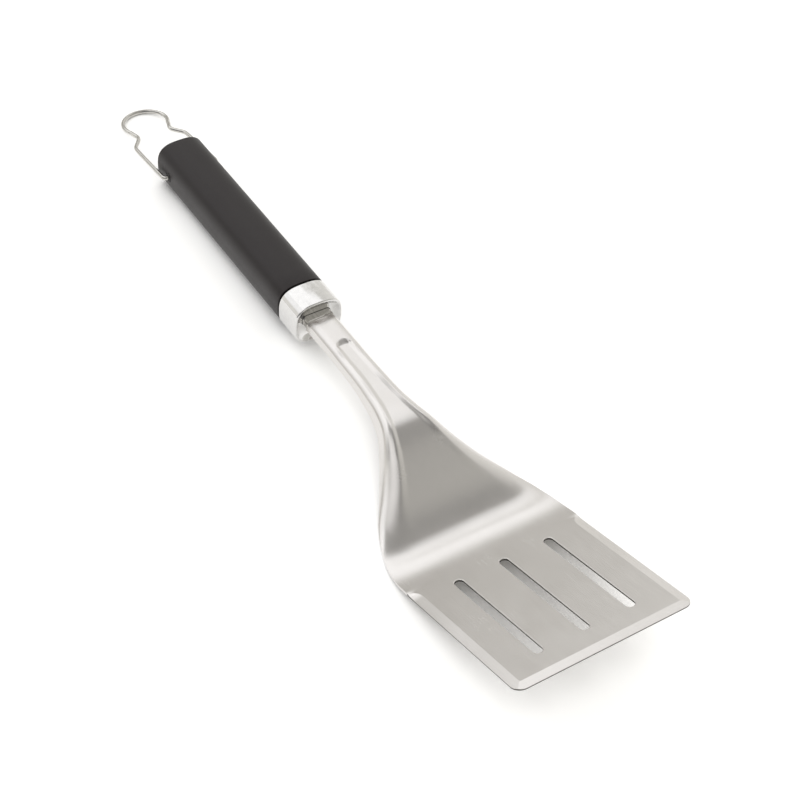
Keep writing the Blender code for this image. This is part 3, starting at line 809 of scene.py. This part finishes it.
def loop_half():
    """Half of the wire's centre line as (x, distance from the pivot)."""
    points = [(WIRE_INNER_END, 0.0)]
    points += arc_points((LEG_AT_PIVOT - WIRE_BEND, WIRE_BEND), WIRE_BEND, -90.0, 0.0, 9)
    points += [(LEG_AT_KINK + 0.4, LEG_LENGTH * 0.5), (LEG_AT_KINK, LEG_LENGTH)]
    swing = 8
    for i in range(1, swing):
        t = i / swing
        x = LEG_AT_KINK + (LOOP_NECK - LEG_AT_KINK) * ease(t)
        points.append((x, LEG_LENGTH + (LOOP_NECK_PLACE - LEG_LENGTH) * t))
    points.append((LOOP_NECK, LOOP_NECK_PLACE))
    join = next(arc_points((0.0, BULB_CENTRE), BULB_RADIUS, BULB_START, 90.0, 24))
    for i in range(1, 4):
        t = i / 4
        x = LOOP_NECK + (join[0] - LOOP_NECK) * ease(t)
        points.append((x, LOOP_NECK_PLACE + (join[1] - LOOP_NECK_PLACE) * t))
    points += arc_points((0.0, BULB_CENTRE), BULB_RADIUS, BULB_START, 90.0, 24)
    return points


def corners_cut(points):
    """One round of corner cutting, which keeps the ends."""
    out = [points[0]]
    for (x0, u0), (x1, u1) in zip(points, points[1:]):
        out.append((0.75 * x0 + 0.25 * x1, 0.75 * u0 + 0.25 * u1))
        out.append((0.25 * x0 + 0.75 * x1, 0.25 * u0 + 0.75 * u1))
    out.append(points[-1])
    return out


def build_loop(frame, material):
    half = loop_half()
    route = half + [(-x, u) for x, u in reversed(half[:-1])]
    reach = BULB_CENTRE - LEG_LENGTH
    route = [(x + BULB_OFFSET * ease((u - LEG_LENGTH) / reach), u) for x, u in route]
    route = corners_cut(corners_cut(route))
    rings = []
    for i, (x, u) in enumerate(route):
        x0, u0 = route[max(i - 1, 0)]
        x1, u1 = route[min(i + 1, len(route) - 1)]
        length = math.hypot(x1 - x0, u1 - u0)
        nx, nu = (u1 - u0) / length, -(x1 - x0) / length
        ring = []
        for k in range(WIRE_SIDES):
            angle = 2 * math.pi * k / WIRE_SIDES
            c, s = WIRE_RADIUS * math.cos(angle), WIRE_RADIUS * math.sin(angle)
            ring.append((x + nx * c, u + nu * c, s))
        rings.append(ring)
    piece = object_from(lofted(rings), "wire_loop")
    shade(piece, WIRE_CREASE)
    return place(piece, frame, "loop", material, "polished_steel", "hanging_loop")


# ---------------------------------------------------------------- materials


class Nodes:
    """Short calls for a material's nodes."""

    def __init__(self, name):
        self.material = bpy.data.materials.new(name)
        self.material.use_nodes = True
        self.tree = self.material.node_tree
        self.shader = self.tree.nodes["Principled BSDF"]

    def add(self, kind, **values):
        node = self.tree.nodes.new(kind)
        for key, value in values.items():
            if key in node.inputs:
                node.inputs[key].default_value = value
            else:
                setattr(node, key, value)
        return node

    def link(self, out, into):
        self.tree.links.new(out, into)

    def position(self, stretch, turn):
        """Object coordinates turned about X and stretched, so that a noise becomes grain."""
        coords = self.add("ShaderNodeTexCoord")
        mapping = self.add("ShaderNodeMapping", vector_type="TEXTURE")
        mapping.inputs["Scale"].default_value = tuple(1 / factor for factor in stretch)
        mapping.inputs["Rotation"].default_value = (math.radians(turn), 0.0, 0.0)
        self.link(coords.outputs["Object"], mapping.inputs["Vector"])
        return mapping.outputs["Vector"]

    def noise(self, stretch, scale, detail=2.0, roughness=0.5, turn=0.0):
        node = self.add("ShaderNodeTexNoise", Scale=scale, Detail=detail, Roughness=roughness)
        self.link(self.position(stretch, turn), node.inputs["Vector"])
        return node.outputs["Fac"]

    def ramp(self, value, low, high, out_low, out_high):
        node = self.add("ShaderNodeMapRange")
        node.inputs["From Min"].default_value = low
        node.inputs["From Max"].default_value = high
        node.inputs["To Min"].default_value = out_low
        node.inputs["To Max"].default_value = out_high
        self.link(value, node.inputs["Value"])
        return node.outputs["Result"]

    def math(self, operation, a, b):
        node = self.add("ShaderNodeMath", operation=operation)
        for socket, value in zip(node.inputs, (a, b)):
            if isinstance(value, (int, float)):
                socket.default_value = value
            else:
                self.link(value, socket)
        return node.outputs[0]

    def blend(self, factor, first, second):
        node = self.add("ShaderNodeMix", data_type="RGBA")
        for socket, value in ((node.inputs[6], first), (node.inputs[7], second)):
            if isinstance(value, tuple):
                socket.default_value = (*value, 1.0)
            else:
                self.link(value, socket)
        self.link(factor, node.inputs[0])
        return node.outputs[2]

    def set(self, **values):
        for key, value in values.items():
            self.shader.inputs[key.replace("_", " ")].default_value = value

    def tone(self, value, low, high, first, second):
        """Base colour that goes from one colour to another as a value goes from low to high."""
        colour = self.blend(self.ramp(value, low, high, 0.0, 1.0), first, second)
        self.link(colour, self.shader.inputs["Base Color"])

    def rough(self, value):
        self.link(value, self.shader.inputs["Roughness"])

    def relief(self, height, distance, strength):
        bump = self.add("ShaderNodeBump", Strength=strength, Distance=distance)
        self.link(height, bump.inputs["Height"])
        self.link(bump.outputs["Normal"], self.shader.inputs["Normal"])


def brushed_steel():
    """Stainless sheet with fine grain along the tool."""
    n = Nodes("brushed_steel_grain")
    n.set(Metallic=1.0, Anisotropic=0.75, Anisotropic_Rotation=0.25)
    along_sheet = n.add("ShaderNodeTangent", direction_type="RADIAL", axis="X")
    n.link(along_sheet.outputs["Tangent"], n.shader.inputs["Tangent"])
    fine = n.noise((1.0, 0.02, 1.0), 4200.0, 3.0, 0.6, -REST_TILT)
    broad = n.noise((1.0, 0.12, 1.0), 320.0, 2.0, 0.5, -REST_TILT)
    blotch = n.noise((1.0, 1.0, 1.0), 45.0, 3.0, 0.5)
    grain = n.math("ADD", n.math("MULTIPLY", fine, 0.75), n.math("MULTIPLY", broad, 0.25))
    n.tone(grain, 0.35, 0.65, (0.684, 0.665, 0.650), (0.716, 0.695, 0.680))
    patchy = n.ramp(blotch, 0.3, 0.7, -0.02, 0.02)
    n.rough(n.math("ADD", n.ramp(grain, 0.3, 0.7, 0.235, 0.265), patchy))
    n.relief(fine, 0.00001, 0.2)
    return n.material


def cut_edge_steel_painted_shade():
    """The sheet's cut edges: duller than its faces, with fine upright marks, and a painted shade:
    their near-black colour stands in for the edges reflecting the shaded floor.
    """
    n = Nodes("cut_edge_painted_shade")
    n.set(Metallic=1.0)
    marks = n.noise((1.0, 1.0, 0.1), 3000.0, 2.0, 0.6, -REST_TILT)
    # Painted shade: the near-black tone stands in for the edge's reflection of the shaded floor
    n.tone(marks, 0.35, 0.65, (0.075, 0.072, 0.066), (0.13, 0.125, 0.115))
    n.rough(n.ramp(marks, 0.3, 0.7, 0.34, 0.46))
    return n.material


def polished_steel():
    """Drawn wire and the polished neck: nearly a mirror, with faint lines and smudges."""
    n = Nodes("polished_steel_drawn")
    n.set(Metallic=1.0)
    lines = n.noise((1.0, 0.05, 1.0), 1800.0, 2.0, 0.5, HANDLE_RISE - REST_TILT)
    smudge = n.noise((1.0, 1.0, 1.0), 150.0, 3.0, 0.5)
    n.tone(lines, 0.35, 0.65, (0.50, 0.49, 0.465), (0.62, 0.605, 0.58))
    n.rough(n.ramp(smudge, 0.3, 0.7, 0.16, 0.22))
    n.relief(lines, 0.000004, 0.15)
    return n.material


def chrome():
    """Bright plate over a cast collar, with a very slight waviness."""
    n = Nodes("chrome_plate")
    n.set(Metallic=1.0)
    wave = n.noise((1.0, 1.0, 1.0), 120.0, 1.0, 0.4)
    haze = n.noise((1.0, 1.0, 1.0), 420.0, 3.0, 0.6)
    n.tone(haze, 0.35, 0.65, (0.675, 0.668, 0.660), (0.715, 0.708, 0.700))
    n.rough(n.ramp(haze, 0.3, 0.7, 0.07, 0.13))
    n.relief(wave, 0.00004, 0.3)
    return n.material


def soft_touch():
    """Matt dark skin with a fine pebble."""
    n = Nodes("soft_touch_skin")
    n.set(Specular_IOR_Level=0.55, Specular_Tint=(1.0, 0.93, 0.94, 1.0))
    pebble = n.noise((1.0, 1.0, 1.0), 3200.0, 2.0, 0.55)
    cloud = n.noise((1.0, 1.0, 1.0), 60.0, 3.0, 0.5)
    n.tone(cloud, 0.3, 0.7, (0.0045, 0.0036, 0.0036), (0.0070, 0.0058, 0.0058))
    patchy = n.ramp(cloud, 0.3, 0.7, -0.02, 0.02)
    n.rough(n.math("ADD", n.ramp(pebble, 0.3, 0.7, 0.42, 0.52), patchy))
    n.relief(pebble, 0.00006, 0.3)
    return n.material


def moulded_plastic():
    """Black moulded nylon with a spark-eroded texture."""
    n = Nodes("moulded_nylon")
    spark = n.noise((1.0, 1.0, 1.0), 1600.0, 3.0, 0.6)
    n.tone(spark, 0.3, 0.7, (0.022, 0.022, 0.022), (0.034, 0.033, 0.033))
    n.rough(n.ramp(spark, 0.3, 0.7, 0.48, 0.62))
    n.relief(spark, 0.00008, 0.4)
    return n.material


def gasket_rubber():
    """Black rubber with a little dust."""
    n = Nodes("gasket_black_rubber")
    dust = n.noise((1.0, 1.0, 1.0), 900.0, 3.0, 0.6)
    n.tone(dust, 0.35, 0.7, (0.010, 0.010, 0.010), (0.020, 0.020, 0.019))
    n.rough(n.ramp(dust, 0.3, 0.7, 0.7, 0.88))
    n.relief(dust, 0.00005, 0.3)
    return n.material


def zinc_plate():
    """Zinc-plated steel with a slight yellow bloom and tool marks."""
    n = Nodes("zinc_plate_bloom")
    n.set(Metallic=1.0)
    bloom = n.noise((1.0, 1.0, 1.0), 260.0, 4.0, 0.6)
    marks = n.noise((1.0, 0.1, 1.0), 1500.0, 2.0, 0.5)
    n.tone(bloom, 0.3, 0.7, (0.50, 0.50, 0.47), (0.62, 0.61, 0.55))
    n.rough(n.ramp(bloom, 0.3, 0.7, 0.28, 0.45))
    n.relief(marks, 0.00003, 0.3)
    return n.material


def dress_nodes(frame, moulded, zinc):
    """The CAD nodes that keep their shape get the scene's materials."""
    for name, material in (
        ("tang_bar", zinc),
        ("tang_washer", zinc),
        ("tang_lock_washer", zinc),
        ("tang_nut", zinc),
        ("core_screw_1", zinc),
        ("core_screw_2", zinc),
        ("handle_core_upper", moulded),
        ("handle_core_lower", moulded),
    ):
        node = frame["nodes"][name]
        node.data.materials.clear()
        node.data.materials.append(material)


# ---------------------------------------------------------------- stage, light and camera


def build_floor():
    """A pale floor with a painted glow, which fades into painted shadow where ambient occlusion
    finds the tool close.
    """
    bm = bmesh.new()
    bmesh.ops.create_grid(bm, x_segments=1, y_segments=1, size=FLOOR_HALF)
    floor = object_from(bm, "floor")
    n = Nodes("pale_floor")
    n.set(Roughness=0.9, Specular_IOR_Level=0.0, Emission_Color=(1.0, 0.995, 0.985, 1.0))
    fleck = n.noise((1.0, 1.0, 1.0), 3.0, 2.0, 0.5)
    n.tone(fleck, 0.3, 0.7, (0.90, 0.90, 0.895), (0.91, 0.91, 0.905))
    # Painted shadow: the glow is turned down where the ambient occlusion finds the tool near
    open_sky = n.add("ShaderNodeAmbientOcclusion", samples=8, Distance=FLOOR_SHADE_REACH)
    glow = n.ramp(open_sky.outputs["AO"], *FLOOR_OPENNESS, 0.0, FLOOR_GLOW)
    n.link(glow, n.shader.inputs["Emission Strength"])
    floor.data.materials.append(n.material)


def build_world():
    """A tent with softboxes and dim places that light the tool, and a plain backdrop to see."""
    world = bpy.data.worlds.new("studio")
    bpy.context.scene.world = world
    world.use_nodes = True
    tree = world.node_tree

    def add(kind, *inputs, **settings):
        node = tree.nodes.new(kind)
        for key, value in settings.items():
            setattr(node, key, value)
        for i, value in enumerate(inputs):
            if isinstance(value, bpy.types.NodeSocket):
                tree.links.new(value, node.inputs[i])
            elif value is not None:
                node.inputs[i].default_value = value
        return node

    def sums(operation, *inputs):
        return add("ShaderNodeMath", *inputs, operation=operation).outputs[0]

    def rise(value, low, high):
        """0 below one value and 1 above another."""
        node = add("ShaderNodeMapRange", value, low, high, interpolation_type="SMOOTHSTEP")
        return node.outputs["Result"]

    def window(value, limits, soft):
        up = rise(value, limits[0] - soft, limits[0] + soft)
        down = rise(value, limits[1] + soft, limits[1] - soft)
        return sums("MULTIPLY", up, down)

    def layer(factor, under, colour):
        mix = add("ShaderNodeMix", data_type="RGBA")
        tree.links.new(factor, mix.inputs[0])
        tree.links.new(under, mix.inputs[6])
        mix.inputs[7].default_value = (*colour, 1.0)
        return mix.outputs[2]

    toward = add("ShaderNodeTexCoord").outputs["Generated"]
    parts = add("ShaderNodeSeparateXYZ", toward)
    azimuth = sums("DEGREES", sums("ARCTAN2", parts.outputs[0], parts.outputs[1]))
    elevation = sums("DEGREES", sums("ARCSINE", parts.outputs[2]))

    ramp = add("ShaderNodeValToRGB", parts.outputs[2])
    stops = ramp.color_ramp.elements
    while len(stops) < len(TENT):
        stops.new(0.5)
    for i, (height, _) in enumerate(TENT):
        stops[i].position = height
    for stop, (_, level) in zip(stops, TENT):
        stop.color = (*(level * tint for tint in TENT_TINT), 1.0)
    colour = ramp.outputs["Color"]

    for _, across, up, side_soft, end_soft, lean, tint in PANELS:
        above = sums("SUBTRACT", elevation, LEAN_LEVEL)
        leaning = sums("ADD", azimuth, sums("MULTIPLY", above, lean))
        sides = window(leaning, across, side_soft)
        ends = window(elevation, up, end_soft)
        colour = layer(sums("MULTIPLY", sides, ends), colour, tint)
    for _, direction, inner, outer, tint in PATCHES:
        aim = Vector(direction).normalized()
        dot = add("ShaderNodeVectorMath", toward, aim, operation="DOT_PRODUCT")
        outside, full = (math.cos(math.radians(angle)) for angle in (outer, inner))
        colour = layer(rise(dot.outputs["Value"], outside, full), colour, tint)
    seen = add("ShaderNodeLightPath").outputs["Is Camera Ray"]
    colour = layer(seen, colour, BACKDROP)
    tree.links.new(colour, tree.nodes["Background"].inputs["Color"])


def build_camera():
    camera = bpy.data.cameras.new("camera")
    camera.sensor_width = SENSOR
    camera.lens = LENS
    camera.clip_start = 0.01
    holder = bpy.data.objects.new("camera", camera)
    bpy.context.scene.collection.objects.link(holder)
    back = -Vector(CAMERA_FORWARD).normalized()
    right = Vector(CAMERA_RIGHT).normalized()
    up = back.cross(right).normalized()
    turn = Matrix((right, up, back)).transposed().to_4x4()
    holder.matrix_world = Matrix.Translation(CAMERA_PLACE) @ turn
    bpy.context.scene.camera = holder


def main():
    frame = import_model()
    blade = blade_frame(frame)
    handle = handle_frame(blade)
    loop = loop_frame(handle)

    polished = polished_steel()
    moulded = moulded_plastic()
    build_blade(blade, brushed_steel(), cut_edge_steel_painted_shade())
    build_neck(handle, polished)
    build_ferrule(handle, chrome())
    build_gasket(handle, gasket_rubber())
    build_grip(handle, soft_touch())
    build_end_cap(handle, moulded)
    build_bush(handle, moulded, -1, "loop_bush_left")
    build_bush(handle, moulded, 1, "loop_bush_right")
    build_loop(loop, polished)
    dress_nodes(frame, moulded, zinc_plate())

    build_floor()
    build_world()
    build_camera()
    bpy.context.scene.view_settings.view_transform = "Standard"


main()
